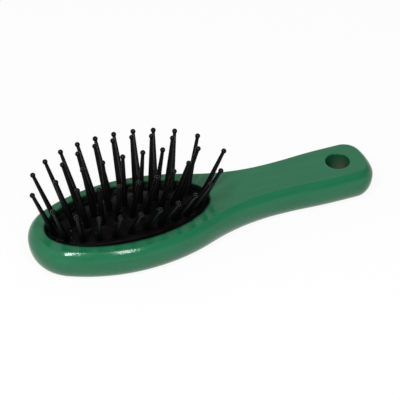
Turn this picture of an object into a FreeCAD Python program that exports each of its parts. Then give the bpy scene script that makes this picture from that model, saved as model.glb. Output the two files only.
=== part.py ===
import FreeCAD, Part
import math
import os
from FreeCAD import Vector

# Oval cushion hair brush, in millimetres. It lies on its flat back with the pins up: +Z is up, the head
# lies towards -X and the grip towards +X, and the origin is under the middle of the length.

# Board, seen from above
total_length = 120.0
head_width = 39.1
widest_past_middle = 0.4
tip_radius = 14.8
neck_width = 18.7
neck_past_mouth = 22.85
grip_width = 20.4
grip_from_end = 13.5
corner_radius = 7.0
end_radius = 25.0

# Board, from the side
board_thickness = 11.4
top_edge_radius = 3.3
back_edge_radius = 6.0
least_side_wall = 0.8
edge_margin = 0.3

# Pocket for the cushion
rim_width = 5.75
mouth_length = 55.7
mouth_bevel = 0.5
floor_thickness = 3.5

# Hanging hole
hole_diameter = 8.0
hole_from_end = 11.3
hole_bevel = 0.5

# Rubber cushion
cushion_edge_depth = 3.4
cushion_rise = 6.75
rubber_thickness = 1.4
lip_reach = 1.0
lip_clearance = 0.15
dome_overlap = 0.3
dome_band_count = 8
dome_side_count = 40
vent_diameter = 1.2

# Pins
pin_height = 20.0
ball_diameter = 1.75
tip_diameter = 1.15
root_diameter = 2.1
head_share = 0.68
head_thickness = 0.7
head_clearance = 0.3
hole_clearance = 0.08
pin_side_count = 8
ball_band_count = 3

# Pin layout: two oval rings and a row on the long axis
outer_pin_count = 22
outer_length_share = 0.894
outer_width_share = 0.7065
middle_pin_count = 16
middle_length_share = 0.657
middle_width_share = 0.3623
middle_shift = -0.3
centre_pin_count = 5
centre_length_share = 0.377
centre_shift = -1.0
along_lean_share = 0.85
across_lean_share = 1.0
handle_end_lean_share = 1.1
oval_step_count = 720
same_place = 0.001

# Places that follow from the sizes above
tip_x = -total_length / 2
end_x = total_length / 2
grip_x = end_x - grip_from_end
hole_x = end_x - hole_from_end
pocket_half_length = mouth_length / 2
pocket_half_width = head_width / 2 - rim_width
pocket_x = tip_x + rim_width + pocket_half_length
widest_x = pocket_x + widest_past_middle
neck_x = pocket_x + pocket_half_length + neck_past_mouth
lip_top = board_thickness - cushion_edge_depth
lip_bottom = lip_top - rubber_thickness
dome_half_length = pocket_half_length - lip_clearance
dome_half_width = pocket_half_width - lip_clearance
outer_half_length = pocket_half_length * outer_length_share
outer_half_width = pocket_half_width * outer_width_share
middle_half_length = pocket_half_length * middle_length_share
middle_half_width = pocket_half_width * middle_width_share
centre_half_length = pocket_half_length * centre_length_share
head_diameter = middle_half_width * head_share


def arc_between(start, end, centre):
    """The shorter arc from start to end round a centre."""
    outward = (start - centre).normalize() + (end - centre).normalize()
    middle = centre + outward.normalize() * start.distanceToPoint(centre)
    return Part.Arc(start, middle, end).toShape()


def s_curve(start, end):
    """Two equal arcs from start to end that leave and arrive along the brush and meet halfway."""
    rise = end.y - start.y
    if abs(rise) < same_place:
        return [Part.makeLine(start, end)]
    halfway = (start + end) / 2
    radius = start.distanceToPoint(end) ** 2 / (4 * rise)
    first = arc_between(start, halfway, start + Vector(0, radius, 0))
    second = arc_between(halfway, end, end - Vector(0, radius, 0))
    return [first, second]


def mirrored(shape):
    """The same edge on the other side of the long axis."""
    return shape.mirror(Vector(0, 0, 0), Vector(0, 1, 0))


def board_outline():
    """Tangent arcs round the tip, the sides of the head, the shoulders, the neck and the end of the grip."""
    widest = Vector(widest_x, head_width / 2, 0)
    neck = Vector(neck_x, neck_width / 2, 0)
    grip = Vector(grip_x, grip_width / 2, 0)
    tip_centre = Vector(tip_x + tip_radius, 0, 0)
    tip_run = widest.x - tip_centre.x
    side_radius = (tip_run**2 + widest.y**2 - tip_radius**2) / (2 * (widest.y - tip_radius))
    side_centre = widest - Vector(0, side_radius, 0)
    tip_join = side_centre + (tip_centre - side_centre).normalize() * side_radius
    end_centre = Vector(end_x - end_radius, 0, 0)
    corner_y = grip.y - corner_radius
    corner_run = math.sqrt((end_radius - corner_radius) ** 2 - corner_y**2)
    corner_centre = Vector(end_centre.x + corner_run, corner_y, 0)
    corner_start = corner_centre + Vector(0, corner_radius, 0)
    end_join = end_centre + (corner_centre - end_centre).normalize() * end_radius
    one_side = [arc_between(tip_join, widest, side_centre)]
    one_side += s_curve(widest, neck)
    one_side += s_curve(neck, grip)
    one_side.append(Part.makeLine(grip, corner_start))
    one_side.append(arc_between(corner_start, end_join, corner_centre))
    tip_opposite = Vector(tip_join.x, -tip_join.y, 0)
    end_opposite = Vector(end_join.x, -end_join.y, 0)
    tip = Part.Arc(tip_opposite, Vector(tip_x, 0, 0), tip_join).toShape()
    end = Part.Arc(end_join, Vector(end_x, 0, 0), end_opposite).toShape()
    other_side = [mirrored(edge) for edge in reversed(one_side)]
    return Part.Wire(Part.__sortEdges__([tip] + one_side + [end] + other_side))


def oval_prism(half_length, half_width, bottom, top):
    """An upright oval block centred on the pocket."""
    oval = Part.Ellipse(Vector(pocket_x, 0, bottom), half_length, half_width)
    face = Part.Face(Part.Wire(oval.toShape()))
    return face.extrude(Vector(0, 0, top - bottom))


def edges_at(shape, level, inside):
    """The edges of a shape that lie flat at one level, for which inside says yes to their middle."""
    found = []
    for edge in shape.Edges:
        box = edge.BoundBox
        flat = abs(box.ZMin - level) < same_place and abs(box.ZMax - level) < same_place
        if flat and inside(box.Center):
            found.append(edge)
    return found


def make_handle_body():
    """The wooden board with its rounded edges, the pocket with its lip groove, and the hanging hole."""
    board = Part.Face(board_outline()).extrude(Vector(0, 0, board_thickness))
    top_radius = min(top_edge_radius, rim_width - mouth_bevel - edge_margin)
    side_left = board_thickness - top_radius - least_side_wall
    back_radius = min(back_edge_radius, side_left, corner_radius - edge_margin)
    board = board.makeFillet(top_radius, edges_at(board, board_thickness, lambda middle: True))
    board = board.makeFillet(back_radius, edges_at(board, 0.0, lambda middle: True))
    pocket = oval_prism(pocket_half_length, pocket_half_width, floor_thickness, board_thickness)
    groove_reach = lip_reach + lip_clearance
    groove = oval_prism(
        pocket_half_length + groove_reach,
        pocket_half_width + groove_reach,
        lip_bottom - lip_clearance,
        lip_top + lip_clearance,
    )
    hole = Part.makeCylinder(hole_diameter / 2, board_thickness, Vector(hole_x, 0, 0))
    body = board.cut(Part.makeCompound([pocket, groove, hole]))
    mouth = edges_at(body, board_thickness, lambda middle: abs(middle.x - pocket_x) < same_place)
    body = body.makeChamfer(mouth_bevel, mouth)

    def at_hole(middle):
        return abs(middle.x - hole_x) < same_place

    rings = edges_at(body, board_thickness, at_hole) + edges_at(body, 0.0, at_hole)
    return body.makeChamfer(hole_bevel, rings)


def faceted(ovals, sides):
    """An upright solid in flat facets between like ovals, each given as half length, half width and level."""
    rings = []
    for half_length, half_width, level in ovals:
        ring = []
        for side in range(sides):
            angle = 2 * math.pi * side / sides
            ring.append(Vector(half_length * math.cos(angle), half_width * math.sin(angle), level))
        rings.append(ring)
    outlines = [rings[0], rings[-1]]
    for lower, upper in zip(rings, rings[1:]):
        for side in range(sides):
            after = (side + 1) % sides
            outlines.append([lower[side], lower[after], upper[after], upper[side]])
    faces = [Part.Face(Part.makePolygon(outline + outline[:1])) for outline in outlines]
    solid = Part.makeSolid(Part.makeShell(faces))
    if solid.Volume < 0:
        solid.reverse()
    return solid


def turned(profile):
    """A small turned piece about the Z axis. The profile lists radius and level, foot first."""
    return faceted([(radius, radius, level) for radius, level in profile], pin_side_count)


def dome(edge_level):
    """A solid oval dome on the pocket's middle: a paraboloid that is as wide as the rubber at edge_level,
    and goes on below it by the overlap."""
    widest_share = math.sqrt(1 + dome_overlap / cushion_rise)
    ovals = []
    for band in range(dome_band_count):
        share = widest_share * (1 - band / dome_band_count)
        level = edge_level + cushion_rise * (1 - share**2)
        ovals.append((dome_half_length * share, dome_half_width * share, level))
    solid = faceted(ovals, dome_side_count)
    solid.translate(Vector(pocket_x, 0, 0))
    return solid


def even_oval(half_length, half_width, count):
    """Places spaced evenly along an oval, starting at its end towards the tip of the head."""
    corners = []
    for step in range(oval_step_count + 1):
        angle = math.pi + 2 * math.pi * step / oval_step_count
        corners.append(Vector(half_length * math.cos(angle), half_width * math.sin(angle), 0))
    run = [0.0]
    for first, second in zip(corners, corners[1:]):
        run.append(run[-1] + first.distanceToPoint(second))
    places = []
    step = 0
    for number in range(count):
        wanted = run[-1] * number / count
        while run[step + 1] < wanted:
            step += 1
        share = (wanted - run[step]) / (run[step + 1] - run[step])
        places.append(corners[step] + (corners[step + 1] - corners[step]) * share)
    return places


def pin_places():
    """Name, root on the rubber's upper face and direction of every pin. Pins stand square to the dome,
    apart from the shares by which they lean along and across the brush. The ring pins on the long axis
    at the handle end lean further along than the others."""
    layout = []
    for number, place in enumerate(even_oval(outer_half_length, outer_half_width, outer_pin_count), 1):
        layout.append((f"pin_outer_{number:02d}", place.x, place.y))
    for number, place in enumerate(even_oval(middle_half_length, middle_half_width, middle_pin_count), 1):
        layout.append((f"pin_middle_{number:02d}", place.x + middle_shift, place.y))
    for number in range(centre_pin_count):
        from_middle = (2 * number / (centre_pin_count - 1) - 1) * centre_half_length
        layout.append((f"pin_centre_{number + 1}", from_middle + centre_shift, 0.0))
    places = []
    for name, x, y in layout:
        fall = (x / dome_half_length) ** 2 + (y / dome_half_width) ** 2
        root = Vector(pocket_x + x, y, lip_top + cushion_rise * (1 - fall))
        slope_along = 2 * cushion_rise * x / dome_half_length**2
        slope_across = 2 * cushion_rise * y / dome_half_width**2
        at_handle_end = abs(y) < same_place and x > centre_half_length
        lean_along = handle_end_lean_share if at_handle_end else along_lean_share
        direction = Vector(lean_along * slope_along, across_lean_share * slope_across, 1)
        places.append((name, root, direction.normalize()))
    return places


def stand(shape, root, direction):
    """Puts a shape that was made upright at the origin onto a pin's root, along its direction."""
    placed = shape.copy()
    placed.Placement = FreeCAD.Placement(root, FreeCAD.Rotation(Vector(0, 0, 1), direction))
    return placed


def make_rubber_cushion(places):
    """The domed rubber skin with its lip, a hole for every pin and a small air vent."""
    lip = oval_prism(pocket_half_length + lip_reach, pocket_half_width + lip_reach, lip_bottom, lip_top)
    crown = dome(lip_top)
    hollow = dome(lip_bottom)
    hole_radius = root_diameter / 2 + hole_clearance
    hole_reach = 2 * rubber_thickness
    pin_hole = turned([(hole_radius, -hole_reach), (hole_radius, hole_reach)])
    holes = [stand(pin_hole, root, direction) for name, root, direction in places]
    row_end = centre_half_length + centre_shift
    ring_end = middle_half_length + middle_shift
    vent_x = pocket_x + (row_end + ring_end) / 2
    vent_foot = Vector(vent_x, 0, lip_bottom)
    vent = Part.makeCylinder(vent_diameter / 2, cushion_rise + cushion_edge_depth, vent_foot)
    skin = lip.fuse(crown).cut(hollow)
    return skin.cut(Part.makeCompound(holes + [vent]))


def make_pin():
    """One moulded pin, upright, its root on the rubber at the origin: flat head, tapered shank, ball tip."""
    ball_radius = ball_diameter / 2
    head_top = -rubber_thickness - head_clearance
    profile = [
        (head_diameter / 2, head_top - head_thickness),
        (head_diameter / 2, head_top),
        (root_diameter / 2, head_top),
    ]
    neck_angle = -math.acos(tip_diameter / ball_diameter)
    band_angle = (math.pi / 2 - neck_angle) / (ball_band_count + 0.5)
    for band in range(ball_band_count + 1):
        angle = neck_angle + band * band_angle
        profile.append((ball_radius * math.cos(angle), pin_height + ball_radius * math.sin(angle)))
    return turned(profile)


def main():
    os.makedirs("parts", exist_ok=True)
    places = pin_places()
    pin = make_pin()
    shapes = {
        "handle_body": make_handle_body(),
        "rubber_cushion": make_rubber_cushion(places),
    }
    for name, root, direction in places:
        shapes[name] = stand(pin, root, direction)
    for name, shape in shapes.items():
        shape.exportStep(f"parts/{name}.step")
    print(len(shapes), "pieces written")


main()
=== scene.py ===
# Oval cushion hair brush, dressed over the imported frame. Sizes of the pieces are in millimetres and turned to
# metres as each mesh is made. Depths in the materials, the stage and the camera's distance are in metres.
import math

import bmesh
import bpy
import numpy as np
from mathutils import Matrix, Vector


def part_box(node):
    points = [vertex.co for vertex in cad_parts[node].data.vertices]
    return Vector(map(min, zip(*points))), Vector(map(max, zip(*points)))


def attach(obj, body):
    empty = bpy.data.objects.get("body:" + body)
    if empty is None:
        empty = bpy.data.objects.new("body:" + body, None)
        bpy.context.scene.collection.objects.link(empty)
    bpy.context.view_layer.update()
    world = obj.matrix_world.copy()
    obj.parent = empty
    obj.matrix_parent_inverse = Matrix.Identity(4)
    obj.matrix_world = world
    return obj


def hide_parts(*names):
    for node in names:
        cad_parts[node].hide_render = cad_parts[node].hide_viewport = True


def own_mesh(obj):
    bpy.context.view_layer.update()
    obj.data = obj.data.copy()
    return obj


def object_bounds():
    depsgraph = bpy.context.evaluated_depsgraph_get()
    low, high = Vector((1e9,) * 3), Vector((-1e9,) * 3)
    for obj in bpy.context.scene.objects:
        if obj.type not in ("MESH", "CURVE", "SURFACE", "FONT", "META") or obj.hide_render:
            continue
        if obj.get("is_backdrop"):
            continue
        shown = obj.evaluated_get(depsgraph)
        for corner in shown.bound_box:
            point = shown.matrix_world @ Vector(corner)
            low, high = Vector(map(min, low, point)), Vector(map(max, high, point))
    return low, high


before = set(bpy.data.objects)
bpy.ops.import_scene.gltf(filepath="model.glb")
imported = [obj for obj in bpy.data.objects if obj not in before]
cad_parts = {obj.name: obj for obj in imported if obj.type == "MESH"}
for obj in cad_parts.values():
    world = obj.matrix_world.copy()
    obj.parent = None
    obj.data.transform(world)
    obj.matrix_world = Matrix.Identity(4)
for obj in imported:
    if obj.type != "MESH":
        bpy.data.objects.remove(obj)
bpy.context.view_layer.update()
scene = bpy.context.scene
mm = 0.001
weldGap = 2e-7  # metres: points of two patches that are nearer than this become one
tiny = 1e-6  # what is smaller counts as zero
touch = 0.05  # mm: a vertex this near to a face counts as on it
noiseSpan = (0.3, 0.7)  # most values of a noise field lie between these


# Mesh helpers
def patch(points, closed=False):
    # one grid surface: points is rows x columns x 3, and closed joins the last column to the first
    rows, columns = points.shape[:2]
    cells = columns if closed else columns - 1
    row, column = np.meshgrid(np.arange(rows - 1), np.arange(cells), indexing="ij")
    after = (column + 1) % columns
    below = row * columns
    above = below + columns
    quads = np.stack([below + column, below + after, above + after, above + column], -1)
    return points.reshape(-1, 3), quads.reshape(-1, 4)


def raised(flat, level):
    # adds a level to an array of points in plan
    return np.concatenate([flat, np.broadcast_to(level, flat.shape[:-1])[..., None]], -1)


def makePiece(name, patches, material, sharpAngle):
    # joins patches along their shared edges into one closed mesh with its faces outwards
    starts = np.cumsum([0] + [len(points) for points, quads in patches])
    allPoints = np.concatenate([points for points, quads in patches]) * mm
    allQuads = np.concatenate([quads + start for (points, quads), start in zip(patches, starts)])
    mesh = bpy.data.meshes.new(name)
    mesh.from_pydata(allPoints.tolist(), [], allQuads.tolist())
    shell = bmesh.new()
    shell.from_mesh(mesh)
    bmesh.ops.remove_doubles(shell, verts=shell.verts, dist=weldGap)
    bmesh.ops.recalc_face_normals(shell, faces=shell.faces)
    openEdges = sum(not edge.is_manifold for edge in shell.edges)
    shell.to_mesh(mesh)
    shell.free()
    mesh.polygons.foreach_set("use_smooth", np.ones(len(mesh.polygons), dtype=bool))
    mesh.set_sharp_from_angle(angle=math.radians(sharpAngle))
    mesh.materials.append(material)
    piece = bpy.data.objects.new(name, mesh)
    scene.collection.objects.link(piece)
    return piece, openEdges


def pointValues(mesh, name, values):
    # a number at every vertex, for the material to read
    mesh.attributes.new(name, "FLOAT", "POINT").data.foreach_set("value", values.astype(np.float32))


def meshPoints(mesh):
    # every vertex of a mesh, in millimetres
    flat = np.empty(len(mesh.vertices) * 3, dtype=np.float32)
    mesh.vertices.foreach_get("co", flat)
    return flat.reshape(-1, 3).astype(float) / mm


# Material helpers
def startMaterial(name):
    # an empty material with one shader on its surface
    material = bpy.data.materials.new(name)
    material.use_nodes = True
    nodes = material.node_tree.nodes
    links = material.node_tree.links
    nodes.clear()
    shader = nodes.new("ShaderNodeBsdfPrincipled")
    output = nodes.new("ShaderNodeOutputMaterial")
    links.new(shader.outputs["BSDF"], output.inputs["Surface"])
    return material, nodes, links, shader


def noiseField(nodes, links, scale, detail, stretch=(1, 1, 1)):
    # noise on object coordinates, stretched by a mapping
    coordinates = nodes.new("ShaderNodeTexCoord")
    mapping = nodes.new("ShaderNodeMapping")
    mapping.inputs["Scale"].default_value = stretch
    noise = nodes.new("ShaderNodeTexNoise")
    noise.inputs["Scale"].default_value = scale
    noise.inputs["Detail"].default_value = detail
    links.new(coordinates.outputs["Object"], mapping.inputs["Vector"])
    links.new(mapping.outputs["Vector"], noise.inputs["Vector"])
    return noise.outputs["Fac"]


def pointField(nodes, name):
    # a number that the mesh carries at its vertices
    field = nodes.new("ShaderNodeAttribute")
    field.attribute_name = name
    return field.outputs["Fac"]


def colourRamp(nodes, links, factor, colours, span=noiseSpan):
    # two colours, the first up to the start of a span and the second from its end on
    ramp = nodes.new("ShaderNodeValToRGB")
    for element, place, colour in zip(ramp.color_ramp.elements, span, colours):
        element.position = place
        element.color = (*colour, 1)
    links.new(factor, ramp.inputs["Fac"])
    return ramp.outputs["Color"]


def valueRange(nodes, links, value, results, span=noiseSpan):
    # turns a span of a value into a range of results, held at both ends
    remap = nodes.new("ShaderNodeMapRange")
    for side, place, result in zip(("Min", "Max"), span, results):
        remap.inputs["From " + side].default_value = place
        remap.inputs["To " + side].default_value = result
    links.new(value, remap.inputs["Value"])
    return remap.outputs["Result"]


# the mix node's sockets for colours go by number, because those for other kinds of value have the same names
colourSockets = {"first": 6, "second": 7, "result": 2}


def mixColours(nodes, links, factor, first, second):
    # from the first colour to the second by a factor: each is a socket or three numbers
    mix = nodes.new("ShaderNodeMix")
    mix.data_type = "RGBA"
    links.new(factor, mix.inputs["Factor"])
    for side, source in (("first", first), ("second", second)):
        socket = mix.inputs[colourSockets[side]]
        if isinstance(source, tuple):
            socket.default_value = (*source, 1)
        else:
            links.new(source, socket)
    return mix.outputs[colourSockets["result"]]


def combine(nodes, links, operation, first, second):
    # one step of arithmetic on two sockets, or on a socket and a number
    step = nodes.new("ShaderNodeMath")
    step.operation = operation
    for socket, source in zip(step.inputs, (first, second)):
        if isinstance(source, float):
            socket.default_value = source
        else:
            links.new(source, socket)
    return step.outputs[0]


def bumpChain(nodes, links, shader, layers):
    # height fields one over the other: each is a socket and its depth in metres
    normal = None
    for height, depth in layers:
        bump = nodes.new("ShaderNodeBump")
        bump.inputs["Distance"].default_value = depth
        links.new(height, bump.inputs["Height"])
        if normal is not None:
            links.new(normal, bump.inputs["Normal"])
        normal = bump.outputs["Normal"]
    links.new(normal, shader.inputs["Normal"])


# Green lacquer on wood
lacquer = {
    "deep": (0.0069, 0.103, 0.0435),
    "pale": (0.0097, 0.121, 0.0515),
    # painted shade: near-black green for the pocket's lip and wall and for the hanging hole
    "paintedShade": (0.0012, 0.006, 0.003),
    # brownish tone for low in the hanging hole
    "brown": (0.108, 0.1, 0.058),
    "paintedShadeRoughness": 0.35,
    "rimRoughness": 0.3,
    "specular": 0.3,
    "paintedShadeSpecular": 0.05,
    "glossRange": (0.12, 0.17),
    "grainStretch": (50, 330, 330),
    "grainDetail": 5,
    "grainDepth": 0.000006,
    "cloudScale": 55,
    "cloudDetail": 3,
    "cloudShare": 0.35,
    "peelScale": 330,
    "peelDepth": 0.00002,
    "dustScale": 1250,
    "dustDepth": 0.000036,
    "bumpDetail": 2,
}


def lacquerMaterial(look):
    # green that varies along the grain and in clouds; by the numbers on the mesh it is darkened with painted
    # shade in the pocket and the hanging hole, browner low in the hole and duller beside the openings
    material, nodes, links, shader = startMaterial("greenLacquer")
    grain = noiseField(nodes, links, 1, look["grainDetail"], look["grainStretch"])
    cloud = noiseField(nodes, links, look["cloudScale"], look["cloudDetail"])
    peel = noiseField(nodes, links, look["peelScale"], look["bumpDetail"])
    dust = noiseField(nodes, links, look["dustScale"], look["bumpDetail"])
    body = colourRamp(nodes, links, grain, (look["deep"], look["pale"]))
    cloudShare = valueRange(nodes, links, cloud, (0, look["cloudShare"]))
    clouded = mixColours(nodes, links, cloudShare, body, look["deep"])
    paintedShadeShare = pointField(nodes, "paintedShadeTone")
    # painted shade mixed in over the pocket's lip and down the hanging hole
    withPaintedShade = mixColours(nodes, links, paintedShadeShare, clouded, look["paintedShade"])
    # browner low in the hanging hole, on its side towards the grip's end
    tinted = mixColours(nodes, links, pointField(nodes, "holeBrownTone"), withPaintedShade, look["brown"])
    links.new(tinted, shader.inputs["Base Color"])
    paintedShadeRough = combine(nodes, links, "MULTIPLY", paintedShadeShare, look["paintedShadeRoughness"])
    rimRough = combine(nodes, links, "MULTIPLY", pointField(nodes, "rimDull"), look["rimRoughness"])
    gloss = valueRange(nodes, links, cloud, look["glossRange"])
    dull = combine(nodes, links, "MAXIMUM", paintedShadeRough, rimRough)
    links.new(combine(nodes, links, "MAXIMUM", dull, gloss), shader.inputs["Roughness"])
    mirror = valueRange(nodes, links, paintedShadeShare, (look["specular"], look["paintedShadeSpecular"]), (0, 1))
    links.new(mirror, shader.inputs["Specular IOR Level"])
    layers = [(grain, look["grainDepth"]), (peel, look["peelDepth"]), (dust, look["dustDepth"])]
    bumpChain(nodes, links, shader, layers)
    return material


# Black rubber of the cushion
rubber = {
    "black": (0.0011, 0.0009, 0.0011),
    "tinted": (0.0034, 0.0027, 0.0028),
    "speck": (0.07, 0.06, 0.058),
    "roughness": (0.42, 0.6),
    "specular": 0.12,
    "ior": 1.2,
    "bloom": 0.045,
    "bloomSpread": 0.35,
    "bloomTint": (0.86, 0.82, 0.95),
    "cloudScale": 160,
    "cloudDetail": 4,
    "wornSpan": (0.35, 0.7),
    "skinScale": 1500,
    "skinDetail": 3,
    "skinDepth": 0.00002,
    "speckScale": 1150,
    "speckDetail": 1,
    "speckSpan": (0.70, 0.76),
    "speckShare": 0.8,
    "patchScale": 120,
    "patchDetail": 2,
    "patchSpan": (0.5, 0.62),
}


def rubberMaterial(look):
    # near black with worn clouds, and light specks in patches
    material, nodes, links, shader = startMaterial("blackRubber")
    cloud = noiseField(nodes, links, look["cloudScale"], look["cloudDetail"])
    skin = noiseField(nodes, links, look["skinScale"], look["skinDetail"])
    dust = noiseField(nodes, links, look["speckScale"], look["speckDetail"])
    dusty = noiseField(nodes, links, look["patchScale"], look["patchDetail"])
    base = colourRamp(nodes, links, cloud, (look["black"], look["tinted"]), look["wornSpan"])
    specks = valueRange(nodes, links, dust, (0, look["speckShare"]), look["speckSpan"])
    patches = valueRange(nodes, links, dusty, (0, 1), look["patchSpan"])
    speckShare = combine(nodes, links, "MULTIPLY", specks, patches)
    links.new(mixColours(nodes, links, speckShare, base, look["speck"]), shader.inputs["Base Color"])
    links.new(valueRange(nodes, links, cloud, look["roughness"]), shader.inputs["Roughness"])
    shader.inputs["Specular IOR Level"].default_value = look["specular"]
    shader.inputs["IOR"].default_value = look["ior"]
    shader.inputs["Sheen Weight"].default_value = look["bloom"]  # fine dust that shows at low angles
    shader.inputs["Sheen Roughness"].default_value = look["bloomSpread"]
    shader.inputs["Sheen Tint"].default_value = (*look["bloomTint"], 1)
    bumpChain(nodes, links, shader, [(skin, look["skinDepth"])])
    return material


# Black nylon of the pins
nylon = {
    "black": (0.0006, 0.0006, 0.0009),
    "grey": (0.0014, 0.0014, 0.0018),
    "roughness": (0.36, 0.46),
    "ballPolish": 0.13,
    "specular": 0.5,
    "ior": 1.22,
    "flowStretch": (900, 900, 160),
    "flowDetail": 3,
    "skinScale": 900,
    "skinDetail": 2,
    "skinDepth": 0.000001,
}


def nylonMaterial(look):
    # near black with streaks along the pin, and smoother on its ball
    material, nodes, links, shader = startMaterial("blackNylon")
    flow = noiseField(nodes, links, 1, look["flowDetail"], look["flowStretch"])
    skin = noiseField(nodes, links, look["skinScale"], look["skinDetail"])
    links.new(colourRamp(nodes, links, flow, (look["black"], look["grey"])), shader.inputs["Base Color"])
    matt = valueRange(nodes, links, skin, look["roughness"])
    polish = combine(nodes, links, "MULTIPLY", pointField(nodes, "ballShare"), look["ballPolish"])
    links.new(combine(nodes, links, "SUBTRACT", matt, polish), shader.inputs["Roughness"])
    shader.inputs["Specular IOR Level"].default_value = look["specular"]
    shader.inputs["IOR"].default_value = look["ior"]
    bumpChain(nodes, links, shader, [(flow, look["skinDepth"]), (skin, look["skinDepth"])])
    return material


# Board: its edge line in plan is a chain of tangent arcs, tip to end, and the other side mirrors it
board = {
    "tipX": -60.0,
    "endX": 60.0,
    "tipRadius": 14.8,
    "widest": (-26.0, 19.55),
    "neck": (24.3, 9.35),
    "grip": (46.5, 10.2),
    "cornerRadius": 7.0,
    "endRadius": 25.0,
    "thickness": 11.4,
    "crownRadius": 1.0,
    "sideRadius": 5.1,
    "joinTilt": 40.0,
    "backReach": 4.4,
    "roundSteps": 12,
    "edgeStep": 0.6,
    "leastSteps": 8,
    "flatShares": (0, 0.05, 0.12, 0.3, 0.65, 0.95, 1),
    "backFrom": -42.0,
    "sharpAngle": 35,
}
mouth = {
    "x": -26.4,
    "halfLength": 27.2,
    "halfWidth": 12.6,
    "round": 2.4,
    "endRound": 1.4,
    "roundSteps": 12,
    "floor": 3.5,
    "floorShares": (0.6, 0.3, 0),
    "grooveReach": 2.35,
    "grooveTop": 8.15,
    "grooveBottom": 6.45,
    "fadeFrom": 2.0,
    "fadeTo": 16.0,
    # painted shade spreads from the pocket's wall out over its lip
    "paintedShadeReach": (0.67, 1.12),  # counted in lips, as fromMouth gives them
    "dullReach": (1.62, 2.0),
}
hole = {
    "x": 48.7,
    "radius": 4.0,
    "topRound": 0.5,
    "backRound": 0.3,
    "roundSteps": 6,
    "turnFrom": 36.0,
    "turnTo": 42.0,
    # painted shade down the hanging hole: its share and how fast it rises with depth
    "paintedShadeShare": 0.55,
    "dullReach": (0.6, 1.1),
    # where the hole turns browner, towards the grip's end
    "brownFrom": (-0.3, 0.7),  # parts of the radius
    "paintedShadeRise": 3.0,
}
mirror = np.array([1, -1])  # takes a place in plan to the other side of the long axis


def arcLine(centre, start, end, size):
    # points from start to end round a centre, and unit normals out of the board
    spokes = np.array([start, end]) - centre
    first, last = np.unwrap(np.arctan2(spokes[:, 1], spokes[:, 0]))
    radius = np.hypot(*spokes[0])
    count = max(size["leastSteps"], int(abs(last - first) * radius / size["edgeStep"]))
    angle = np.linspace(first, last, count + 1)[:-1]
    spoke = np.stack([np.cos(angle), np.sin(angle)], -1)
    side = np.sign(spoke[count // 2, 1])  # the centre of a hollow curve lies outside the board
    return centre + radius * spoke, side * spoke


def sCurve(start, end):
    # two equal arcs that leave start and reach end along the brush: centre, start and end of each
    radius = ((end - start) ** 2).sum() / (4 * (end[1] - start[1]))
    halfway = (start + end) / 2
    reach = np.array([0, radius])
    return [(start + reach, start, halfway), (end - reach, halfway, end)]


def boardLine(size):
    # half of the edge line: tip arc, head side, shoulder, neck, grip, corner and end arc
    tip = np.array([size["tipX"], 0.0])
    end = np.array([size["endX"], 0.0])
    widest, neck, grip = (np.array(size[key]) for key in ("widest", "neck", "grip"))
    tipCentre = tip + [size["tipRadius"], 0]
    run = widest[0] - tipCentre[0]
    sideRadius = (run**2 + widest[1] ** 2 - size["tipRadius"] ** 2) / (2 * (widest[1] - size["tipRadius"]))
    sideCentre = widest - [0, sideRadius]
    towards = tipCentre - sideCentre
    tipJoin = sideCentre + towards / np.hypot(*towards) * sideRadius
    endCentre = end - [size["endRadius"], 0]
    cornerY = grip[1] - size["cornerRadius"]
    cornerRun = math.sqrt((size["endRadius"] - size["cornerRadius"]) ** 2 - cornerY**2)
    cornerCentre = endCentre + [cornerRun, cornerY]
    cornerStart = cornerCentre + [0, size["cornerRadius"]]
    outwards = cornerCentre - endCentre
    endJoin = endCentre + outwards / np.hypot(*outwards) * size["endRadius"]
    before = [(tipCentre, tip, tipJoin), (sideCentre, tipJoin, widest)]
    before += sCurve(widest, neck) + sCurve(neck, grip)
    after = [(cornerCentre, cornerStart, endJoin), (endCentre, endJoin, end)]
    straightCount = int((cornerStart[0] - grip[0]) / size["edgeStep"])
    straight = np.linspace(grip, cornerStart, straightCount + 1)[:-1]
    runs = [arcLine(*arc, size) for arc in before]
    runs.append((straight, np.broadcast_to([0.0, 1.0], straight.shape)))
    runs += [arcLine(*arc, size) for arc in after]
    runs.append((end[None], np.array([[1.0, 0.0]])))
    line = np.concatenate([points for points, normals in runs])
    normal = np.concatenate([normals for points, normals in runs])
    return line, normal


def mirroredLoop(half):
    # a half line and its mirror image as one closed loop
    return np.concatenate([half, (half * mirror)[-2:0:-1]])


def quarterRound(radius, steps):
    # inset and drop of a rounded edge, from the face it starts on to the face it ends on
    turn = np.linspace(0, math.pi / 2, steps)
    return radius * (1 - np.sin(turn)), radius * (1 - np.cos(turn))


def topEdge(size):
    # inset and drop of the top edge: a tight arc off the top face runs on into a wide arc down the side
    join = math.radians(size["joinTilt"])
    first = np.linspace(0, join, size["roundSteps"])
    second = np.linspace(join, math.pi / 2, size["roundSteps"])[1:]
    crown, side = size["crownRadius"], size["sideRadius"]
    crownInset = crown * (math.sin(join) - np.sin(first)) + side * (1 - math.sin(join))
    crownDrop = crown * (1 - np.cos(first))
    sideDrop = crownDrop[-1] + side * (math.cos(join) - np.cos(second))
    return np.concatenate([crownInset, side * (1 - np.sin(second))]), np.concatenate([crownDrop, sideDrop])


def ovalRows(centreX, halfLengths, halfWidths, levels, angle):
    # ovals one above the other: half sizes and a level for each row
    x = centreX + np.outer(halfLengths, np.cos(angle))
    y = np.outer(halfWidths, np.sin(angle))
    return np.stack([x, y, np.broadcast_to(np.asarray(levels)[:, None], x.shape)], -1)


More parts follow.
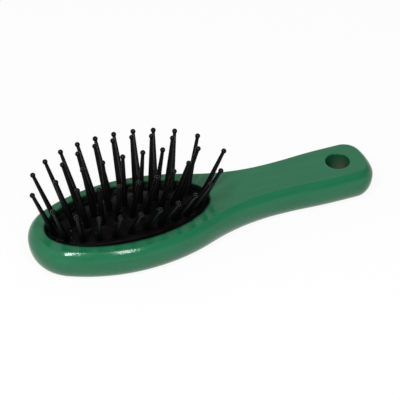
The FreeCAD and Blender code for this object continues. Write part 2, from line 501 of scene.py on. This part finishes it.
def boardPatches(size, opening, bore):
    # an edge profile carried along the edge line, flat faces ruled inwards, and ovals down both openings
    line, normal = boardLine(size)
    top = size["thickness"]

    # shell: an elliptical back edge and the top edge, carried along the whole edge line
    loop, loopNormal = mirroredLoop(line), mirroredLoop(normal)
    topInset, topDrop = topEdge(size)
    topReach, backReach = topInset[0], size["backReach"]
    backInset, backDrop = quarterRound(1.0, size["roundSteps"])  # of unit size, stretched to an ellipse
    inset = np.concatenate([backReach * backInset[:-1], topInset[::-1]])
    level = np.concatenate([(top - topDrop[-1]) * backDrop[:-1], top - topDrop[::-1]])
    shell = raised(loop[None] - loopNormal[None] * inset[:, None, None], level[:, None])
    patches = [patch(shell, closed=True)]

    # every point of the edge line has a partner: on the mouth, on the long axis or on the hanging hole
    x = line[:, 0]
    within = line - normal * (topReach + backReach) / 2
    atMouth = np.count_nonzero(x < opening["fadeTo"])
    atHole = np.count_nonzero(x < bore["turnFrom"])
    fade = np.clip((opening["fadeTo"] - x) / (opening["fadeTo"] - opening["fadeFrom"]), 0, 1)
    alongMouth = (within[:, 0] - opening["x"]) / opening["halfLength"]
    mouthAngle = fade * np.arctan2(within[:, 1] / opening["halfWidth"], alongMouth)
    mouthAngle = mouthAngle[:atMouth]
    mouthAngle[-1] = 0
    turn = np.clip((x - bore["turnFrom"]) / (bore["turnTo"] - bore["turnFrom"]), 0, 1)
    holeAngle = math.pi - turn * (math.pi - np.arctan2(within[:, 1], within[:, 0] - bore["x"]))
    holeAngle = holeAngle[atHole:]
    holeAngle[0] = math.pi
    shares = np.array(size["flatShares"])[:, None, None]

    def ring(centreX, halfLength, halfWidth, angle):
        # places on an oval in plan
        return np.stack([centreX + halfLength * np.cos(angle), halfWidth * np.sin(angle)], -1)

    def axisLine(first, last, count):
        # places evenly spaced between two ends on the long axis
        along = np.linspace(first, last, count + 2)[1:-1]
        return np.stack([along, np.zeros(count)], -1)

    def flatHalves(edge, partner, height):
        # flat face ruled from the edge line to its partners, and its mirror image
        half = edge + (partner - edge) * shares
        return [patch(raised(side, height)) for side in (half, half * mirror)]

    topRing = bore["radius"] + bore["topRound"]
    mouthLength = opening["halfLength"] + opening["endRound"]
    mouthLine = ring(opening["x"], mouthLength, opening["halfWidth"] + opening["round"], mouthAngle)
    topAxis = axisLine(mouthLine[-1, 0], bore["x"] - topRing, atHole - atMouth)
    topPartner = np.concatenate([mouthLine, topAxis, ring(bore["x"], topRing, topRing, holeAngle)])
    patches += flatHalves(line - normal * topReach, topPartner, top)
    backRing = bore["radius"] + bore["backRound"]
    backAxis = axisLine(size["backFrom"], bore["x"] - backRing, atHole)
    backPartner = np.concatenate([backAxis, ring(bore["x"], backRing, backRing, holeAngle)])
    patches += flatHalves(line - normal * backReach, backPartner, 0.0)

    # pocket: rounded mouth, wall, groove for the rubber's lip, floor
    reach, drop = quarterRound(1.0, opening["roundSteps"])  # of unit size, wider at the sides than the ends
    groove = opening["grooveReach"] * np.array([0, 1, 1, 0, 0])  # into it, out again and down to the floor
    floorShares = np.array(opening["floorShares"])

    def pocketRows(halfSize, lipRound):
        # half sizes of the rows: round of the lip, wall with its groove, and floor
        return np.concatenate([halfSize + lipRound * reach, halfSize + groove, halfSize * floorShares])

    halfLengths = pocketRows(opening["halfLength"], opening["endRound"])
    halfWidths = pocketRows(opening["halfWidth"], opening["round"])
    grooveLevels = np.repeat([opening["grooveTop"], opening["grooveBottom"]], 2)
    floorLevels = [opening["floor"]] * (1 + len(floorShares))
    levels = np.concatenate([top - opening["round"] * drop, grooveLevels, floorLevels])
    mouthLoop = np.concatenate([mouthAngle, -mouthAngle[-2:0:-1]])
    patches.append(patch(ovalRows(opening["x"], halfLengths, halfWidths, levels, mouthLoop), closed=True))

    # hanging hole: rounded at both faces
    rimReach, rimFall = quarterRound(bore["topRound"], bore["roundSteps"])
    footReach, footFall = quarterRound(bore["backRound"], bore["roundSteps"])
    radii = bore["radius"] + np.concatenate([rimReach, footReach[::-1]])
    holeLevels = np.concatenate([top - rimFall, footFall[::-1]])
    holeLoop = np.concatenate([holeAngle, -holeAngle[-2:0:-1]])
    patches.append(patch(ovalRows(bore["x"], radii, radii, holeLevels, holeLoop), closed=True))
    return patches


def fromMouth(points, opening):
    # distance from the wall of the mouth in units of its lip: 0 at the wall and 1 at the lip's top edge
    x, y = points[:, :2].T
    along = x - opening["x"]
    atWall = np.hypot(along / opening["halfLength"], y / opening["halfWidth"])
    topLength = opening["halfLength"] + opening["endRound"]
    topWidth = opening["halfWidth"] + opening["round"]
    atTop = np.hypot(along / topLength, y / topWidth)
    return (atWall - 1) * atTop / np.maximum(atWall - atTop, tiny)


def fallingShare(value, low, high):
    # 1 up to low, falling evenly to 0 at high
    return np.clip((high - value) / (high - low), 0, 1)


def paintedShadeTone(points, size, opening, bore):
    # painted shade of the recesses: 0 on the outside, rising over the pocket's lip and down the hanging hole
    x, y, z = points.T
    aboveFloor = z > opening["floor"] - touch
    pocketShade = aboveFloor * fallingShare(fromMouth(points, opening), *opening["paintedShadeReach"])
    inHole = np.hypot(x - bore["x"], y) < bore["radius"] + bore["topRound"] + touch
    inHole &= z > bore["backRound"]
    depth = size["thickness"] - z
    holeShade = bore["paintedShadeShare"] * np.clip(depth / bore["topRound"] * bore["paintedShadeRise"], 0, 1)
    return np.where(inHole, holeShade, pocketShade)


def holeBrownTone(points, size, bore):
    # 0 at the top of the hanging hole, rising down its wall on the side towards the end of the grip
    x, y, z = points.T
    inBore = (np.hypot(x - bore["x"], y) < bore["radius"] + touch) & (z > bore["backRound"] - touch)
    towardsEnd = 1 - fallingShare((x - bore["x"]) / bore["radius"], *bore["brownFrom"])
    return inBore * towardsEnd * np.clip(1 - z / (size["thickness"] - bore["topRound"]), 0, 1)


def rimDull(points, opening, bore):
    # 1 beside the mouth and the hanging hole, where handling has dulled the lacquer, and 0 further off
    fromBore = np.hypot(points[:, 0] - bore["x"], points[:, 1]) - bore["radius"]
    besideMouth = fallingShare(fromMouth(points, opening), *opening["dullReach"])
    return np.maximum(besideMouth, fallingShare(fromBore, *bore["dullReach"]))


boardSurfaces = boardPatches(board, mouth, hole)
greenLacquer = lacquerMaterial(lacquer)
handle, handleGaps = makePiece("brushHandle", boardSurfaces, greenLacquer, board["sharpAngle"])
handlePoints = meshPoints(handle.data)
# painted shade in the pocket and the hanging hole, as numbers on the vertices
pointValues(handle.data, "paintedShadeTone", paintedShadeTone(handlePoints, board, mouth, hole))
# browner low in the hanging hole, as numbers on the vertices
pointValues(handle.data, "holeBrownTone", holeBrownTone(handlePoints, board, hole))
pointValues(handle.data, "rimDull", rimDull(handlePoints, mouth, hole))
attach(handle, "handle")
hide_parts("handle_body")
print("handle:", len(handle.data.polygons), "faces,", handleGaps, "open edges")


# Pins: two even ovals and a row, each pin square to the dome but for its lean
pins = {
    "ovalSteps": 720,
    "outerCount": 22,
    "outerOval": (24.8979, 9.7497),
    "middleCount": 16,
    "middleOval": (18.29745, 4.99974),
    "middleShift": -0.3,
    "centreCount": 5,
    "centreReach": 10.49945,
    "centreShift": -1.0,
    "leanAlong": 0.85,
    "leanHandleEnd": 1.1,
    "height": 20.0,
    "ballRadius": 0.875,
    "neckRadius": 0.575,
    "rootRadius": 1.05,
    "headRadius": 1.7,
    "headTop": -1.7,
    "headThickness": 0.7,
    "sides": 22,
    "shankSteps": 9,
    "ballSteps": 13,
    "sharpAngle": 40,
}
cushion = {
    "x": -26.4,
    "halfLength": 27.7,
    "halfWidth": 13.65,
    "edgeLength": 27.13,
    "edgeWidth": 12.53,
    "shelfRise": 1.6,
    "shelfReach": (0.5, 3.0),
    "lipLength": 28.85,
    "lipWidth": 14.8,
    "lipTop": 8.0,
    "thickness": 1.4,
    "rise": 6.75,
    "press": 1.5,
    "columns": 340,
    "topRows": 116,
    "underRows": 18,
    "underEdge": 0.98,
    "puckerHeight": 0.28,
    "puckerReach": (1.0, 1.9),
    "ventX": -12.65,
    "ventReach": (0.48, 0.72),
    "ventDepth": 1.1,
    "sharpAngle": 50,
}


def evenOval(halfSizes, count, steps):
    # places evenly spaced along an oval, from its end at the tip of the head
    angle = np.linspace(math.pi, 3 * math.pi, steps + 1)
    line = np.stack([halfSizes[0] * np.cos(angle), halfSizes[1] * np.sin(angle)], -1)
    run = np.concatenate([[0], np.cumsum(np.hypot(*np.diff(line, axis=0).T))])
    wanted = run[-1] * np.arange(count) / count
    return np.stack([np.interp(wanted, run, line[:, 0]), np.interp(wanted, run, line[:, 1])], -1)


def pinPlaces(size, dome):
    # names, roots on the dome and directions: the direction leans by the dome's slope
    outer = evenOval(size["outerOval"], size["outerCount"], size["ovalSteps"])
    middle = evenOval(size["middleOval"], size["middleCount"], size["ovalSteps"]) + [size["middleShift"], 0]
    row = np.linspace(-size["centreReach"], size["centreReach"], size["centreCount"]) + size["centreShift"]
    centre = np.stack([row, np.zeros(len(row))], -1)
    names = [f"outer_{number + 1:02d}" for number in range(len(outer))]
    names += [f"middle_{number + 1:02d}" for number in range(len(middle))]
    names += [f"centre_{number + 1}" for number in range(len(centre))]
    x, y = np.concatenate([outer, middle, centre]).T
    fall = (x / dome["halfLength"]) ** 2 + (y / dome["halfWidth"]) ** 2
    roots = np.stack([dome["x"] + x, y, dome["lipTop"] + dome["rise"] * (1 - fall)], -1)
    atHandleEnd = (np.abs(y) < tiny) & (x > size["centreReach"])
    lean = np.where(atHandleEnd, size["leanHandleEnd"], size["leanAlong"])
    along = lean * 2 * dome["rise"] * x / dome["halfLength"] ** 2
    across = 2 * dome["rise"] * y / dome["halfWidth"] ** 2
    directions = np.stack([along, across, np.ones(len(x))], -1)
    return names, roots, directions / np.linalg.norm(directions, axis=1)[:, None]


def pinProfile(size):
    # radius and level from the flat head up the tapered shank and round the ball
    neckTurn = -math.acos(size["neckRadius"] / size["ballRadius"])
    ballTurn = np.linspace(neckTurn, math.pi / 2, size["ballSteps"])
    ballRadii = size["ballRadius"] * np.cos(ballTurn)
    ballLevels = size["height"] + size["ballRadius"] * np.sin(ballTurn)
    share = np.linspace(0, 1, size["shankSteps"] + 1)[:-1]
    shankRadii = size["rootRadius"] + (size["neckRadius"] - size["rootRadius"]) * share
    shankLevels = size["headTop"] + (ballLevels[0] - size["headTop"]) * share
    headFoot = size["headTop"] - size["headThickness"]
    radii = np.concatenate([[0, size["headRadius"], size["headRadius"]], shankRadii, ballRadii])
    levels = np.concatenate([[headFoot, headFoot, size["headTop"]], shankLevels, ballLevels])
    return np.maximum(radii, 0), levels


def turnedAlong(root, direction, radii, levels, sides):
    # a turned profile stood on its root along its direction
    across = np.cross([0.0, 1.0, 0.0], direction)
    across /= np.linalg.norm(across)
    beside = np.cross(direction, across)
    turn = np.linspace(0, 2 * math.pi, sides, endpoint=False)
    circle = np.cos(turn)[:, None] * across + np.sin(turn)[:, None] * beside
    return root + radii[:, None, None] * circle[None] + levels[:, None, None] * direction


pinNames, pinRoots, pinDirections = pinPlaces(pins, cushion)
pinRadii, pinLevels = pinProfile(pins)
blackNylon = nylonMaterial(nylon)
pinGaps = 0
pinDrift = 0.0
for name, root, direction in zip(pinNames, pinRoots, pinDirections):
    surface = turnedAlong(root, direction, pinRadii, pinLevels, pins["sides"])
    pin, gaps = makePiece("brushPin_" + name, [patch(surface, closed=True)], blackNylon, pins["sharpAngle"])
    onBall = (meshPoints(pin.data) - root) @ direction > pins["height"] - pins["ballRadius"]
    pointValues(pin.data, "ballShare", onBall)
    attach(pin, "pin_" + name)
    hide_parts("pin_" + name)
    low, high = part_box("pin_" + name)
    pinGaps += gaps
    pinDrift = max(pinDrift, np.abs(surface.min((0, 1)) - np.array(low) / mm).max())
    pinDrift = max(pinDrift, np.abs(surface.max((0, 1)) - np.array(high) / mm).max())
print("pins:", len(pinNames), "made,", pinGaps, "open edges")
print("boxes of the pins: within", round(float(pinDrift), 2), "mm of the frame")


# Rubber cushion: oval paraboloid with a shelf near its edge and a lip, drawn up a little round each pin
def easedStep(value, low, high):
    # 0 up to low, 1 from high on, and an even S between them
    share = np.clip((value - low) / (high - low), 0, 1)
    return share**2 * (3 - 2 * share)


def cushionPatch(size, roots):
    # ovals from the middle of the top out to its edge, round the lip and back to the middle underneath
    angle = np.linspace(0, 2 * math.pi, size["columns"], endpoint=False)
    top = np.linspace(0, 1, size["topRows"])
    under = np.linspace(size["underEdge"], 0, size["underRows"])
    lipFoot = size["lipTop"] - size["thickness"]
    edgeLength, edgeWidth = size["edgeLength"], size["edgeWidth"]

    def rowSizes(edge, lip):
        # half sizes of the rows: the top, its edge again at the lip, the lip's two edges and the underside
        return np.concatenate([edge * top, [edge, lip, lip], edge * under])

    halfLengths = rowSizes(edgeLength, size["lipLength"])
    halfWidths = rowSizes(edgeWidth, size["lipWidth"])
    underLevels = lipFoot + size["rise"] * (1 - under**2)
    underLevels[0] = lipFoot
    levels = np.concatenate([np.zeros(len(top)), [size["lipTop"]] * 2, [lipFoot], underLevels])
    points = ovalRows(size["x"], halfLengths, halfWidths, levels, angle)

    # heights of the top skin: the paraboloid, its shelf, the rings round the pins and the sunk vent
    skin = points[: size["topRows"]]
    x, y = skin[..., 0], skin[..., 1]
    fall = ((x - size["x"]) / size["halfLength"]) ** 2 + (y / size["halfWidth"]) ** 2
    fromEdge = (1 - top)[:, None] * np.hypot(edgeLength * np.cos(angle), edgeWidth * np.sin(angle))
    shelf = size["shelfRise"] * (1 - easedStep(fromEdge, *size["shelfReach"]))
    fromPin = np.sqrt(((skin[:, :, None, :2] - roots[:, :2]) ** 2).sum(-1)).min(-1)
    pucker = size["puckerHeight"] * (1 - easedStep(fromPin, *size["puckerReach"]))
    fromVent = np.hypot(x - size["ventX"], y)
    vent = size["ventDepth"] * fallingShare(fromVent, *size["ventReach"])
    skin[..., 2] = size["lipTop"] + size["rise"] * (1 - fall) + shelf + pucker - vent
    return patch(points, closed=True)


rubberSurface = cushionPatch(cushion, pinRoots)
blackRubber = rubberMaterial(rubber)
rubberSkin, rubberGaps = makePiece("rubberCushion", [rubberSurface], blackRubber, cushion["sharpAngle"])
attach(rubberSkin, "cushion")
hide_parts("rubber_cushion")
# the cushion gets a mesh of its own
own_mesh(rubberSkin)
print("cushion:", len(rubberSkin.data.polygons), "faces,", rubberGaps, "open edges")


# Floor, world and lamps. The spans of the world's glows are parts of a direction of unit length
stage = {
    "floorSize": 8.0,
    "floorWhite": 0.7,
    "whiteShare": 0.9,
    "room": 0.23,
    "backdrop": 0.4,
    "backdropSpan": (0.0, 0.6),
    "lowWall": 0.35,
    "lowWallSpan": (0.12, 0.45),
    "leftWall": 0.6,
    "leftWallSpan": (-0.7, -0.1),
    "whiteBelow": (0.05, 0.3),
    "whiteBehind": (0.1, 0.5),
    "farWhite": 0.94,
    "backdropWhite": 0.8,
    "aim": (-0.026, 0, 0.01),
}
lamps = {
    "softboxLeft": {"azimuth": -41, "elevation": 51, "away": 0.6, "size": (0.055, 0.3), "power": 2.5},
    "softboxRight": {"azimuth": 4, "elevation": 48, "away": 0.6, "size": (0.075, 0.25), "power": 1.7},
}


def seenDirectly(nodes, links):
    # 1 for what the camera sees, also in gloss and through glass, and 0 for the light that falls on the brush
    path = nodes.new("ShaderNodeLightPath")
    seen = path.outputs["Is Camera Ray"]
    for other in ("Is Glossy Ray", "Is Transmission Ray"):
        seen = combine(nodes, links, "MAXIMUM", seen, path.outputs[other])
    return seen


def whiteFloor(look):
    # a wide sheet of paper for the light, shown mostly as plain white
    half = look["floorSize"] / 2
    mesh = bpy.data.meshes.new("whiteFloor")
    corners = np.array([[-half, -half, 0], [half, -half, 0], [half, half, 0], [-half, half, 0]])
    mesh.from_pydata(corners.tolist(), [], [(0, 1, 2, 3)])
    floor = bpy.data.objects.new("whiteFloor", mesh)
    scene.collection.objects.link(floor)
    material = bpy.data.materials.new("whitePaper")
    material.use_nodes = True
    nodes = material.node_tree.nodes
    links = material.node_tree.links
    nodes.clear()
    paper = nodes.new("ShaderNodeBsdfDiffuse")
    paper.inputs["Color"].default_value = (look["floorWhite"],) * 3 + (1,)
    white = nodes.new("ShaderNodeEmission")
    both = nodes.new("ShaderNodeMixShader")
    output = nodes.new("ShaderNodeOutputMaterial")
    share = combine(nodes, links, "MULTIPLY", seenDirectly(nodes, links), look["whiteShare"])
    links.new(share, both.inputs["Fac"])
    links.new(paper.outputs[0], both.inputs[1])
    links.new(white.outputs[0], both.inputs[2])
    links.new(both.outputs[0], output.inputs["Surface"])
    mesh.materials.append(material)
    floor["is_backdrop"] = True


def studioWorld(look):
    # dim room with a brighter backdrop, horizon and left wall, the first two shown as nearly plain white
    world = bpy.data.worlds.new("studio")
    scene.world = world
    world.use_nodes = True
    nodes = world.node_tree.nodes
    links = world.node_tree.links
    nodes.clear()
    coordinates = nodes.new("ShaderNodeTexCoord")
    split = nodes.new("ShaderNodeSeparateXYZ")
    links.new(coordinates.outputs["Generated"], split.inputs[0])
    along, across, upward = (split.outputs[axis] for axis in "XYZ")
    backdrop = valueRange(nodes, links, across, (0, look["backdrop"]), look["backdropSpan"])
    lowWall = valueRange(nodes, links, upward, (look["lowWall"], 0), look["lowWallSpan"])
    leftWall = valueRange(nodes, links, along, (look["leftWall"], 0), look["leftWallSpan"])
    walls = combine(nodes, links, "MAXIMUM", combine(nodes, links, "MAXIMUM", backdrop, lowWall), leftWall)
    level = combine(nodes, links, "ADD", walls, look["room"])
    behind = valueRange(nodes, links, across, (0, look["backdropWhite"]), look["whiteBehind"])
    below = valueRange(nodes, links, upward, (look["farWhite"], 0), look["whiteBelow"])
    white = combine(nodes, links, "MAXIMUM", behind, below)
    shown = combine(nodes, links, "MULTIPLY", white, seenDirectly(nodes, links))
    background = nodes.new("ShaderNodeBackground")
    background.inputs["Color"].default_value = (1, 1, 1, 1)
    links.new(combine(nodes, links, "MAXIMUM", shown, level), background.inputs["Strength"])
    output = nodes.new("ShaderNodeOutputWorld")
    links.new(background.outputs[0], output.inputs["Surface"])


def viewAxes(azimuth, elevation):
    # right, up and back of what looks at the brush: azimuth off its near side and elevation, in degrees
    turn, rise = math.radians(azimuth), math.radians(elevation)
    right = np.array([math.cos(turn), math.sin(turn), 0.0])
    level = np.array([math.sin(turn), -math.cos(turn), 0.0])
    back = math.cos(rise) * level + math.sin(rise) * np.array([0.0, 0.0, 1.0])
    return right, np.cross(back, right), back


def standAt(name, data, axes, place):
    # puts a lamp or a camera in the scene, turned to its own right, up and back
    thing = bpy.data.objects.new(name, data)
    scene.collection.objects.link(thing)
    turned = np.eye(4)
    turned[:3, :3] = np.stack(axes, -1)
    turned[:3, 3] = place
    thing.matrix_world = Matrix(turned.tolist())
    return thing


def areaLamp(name, look, aim):
    # an upright panel that faces the head
    data = bpy.data.lights.new(name, "AREA")
    data.shape = "RECTANGLE"
    data.size, data.size_y = look["size"]
    data.energy = look["power"]
    right, up, back = viewAxes(look["azimuth"], look["elevation"])
    standAt(name, data, (right, up, back), np.array(aim) + look["away"] * back)


whiteFloor(stage)
studioWorld(stage)
for lampName, lampLook in lamps.items():
    areaLamp(lampName, lampLook, stage["aim"])
print("stage: floor, world,", len(lamps), "lamps")


# Camera: at the photograph's place, turned so that its frame holds the brush as there
view = {
    "azimuth": -22.27,
    "elevation": 39.31,
    "distance": 0.7045,
    "roll": 0.42,
    "imageSide": 400,
    "focalPixels": 2120.5,
    "originPixel": (202.86, 221.15),
    "sensor": 36.0,
    "clipStart": 0.01,
}


def photoCamera(look):
    # the brush's origin falls on its own pixel, so the camera turns by that pixel's distance from the middle
    right, up, back = viewAxes(look["azimuth"], look["elevation"])
    roll = math.radians(look["roll"])
    right, up = math.cos(roll) * right + math.sin(roll) * up, math.cos(roll) * up - math.sin(roll) * right
    middle = look["imageSide"] / 2
    offRight = (middle - look["originPixel"][0]) / look["focalPixels"]
    offDown = (middle - look["originPixel"][1]) / look["focalPixels"]
    aimBack = back - offRight * right + offDown * up  # the line of sight through the middle of the picture
    aimBack /= np.linalg.norm(aimBack)
    aimRight = np.cross(up, aimBack)
    aimRight /= np.linalg.norm(aimRight)
    axes = (aimRight, np.cross(aimBack, aimRight), aimBack)
    data = bpy.data.cameras.new("photoCamera")
    data.sensor_width = look["sensor"]
    data.lens = look["focalPixels"] / look["imageSide"] * look["sensor"]
    data.clip_start = look["clipStart"]
    scene.camera = standAt("photoCamera", data, axes, back * look["distance"])


photoCamera(view)
scene.view_settings.view_transform = "Standard"
low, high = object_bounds()
print("visual box:", [round((last - first) / mm, 2) for first, last in zip(low, high)], "mm")
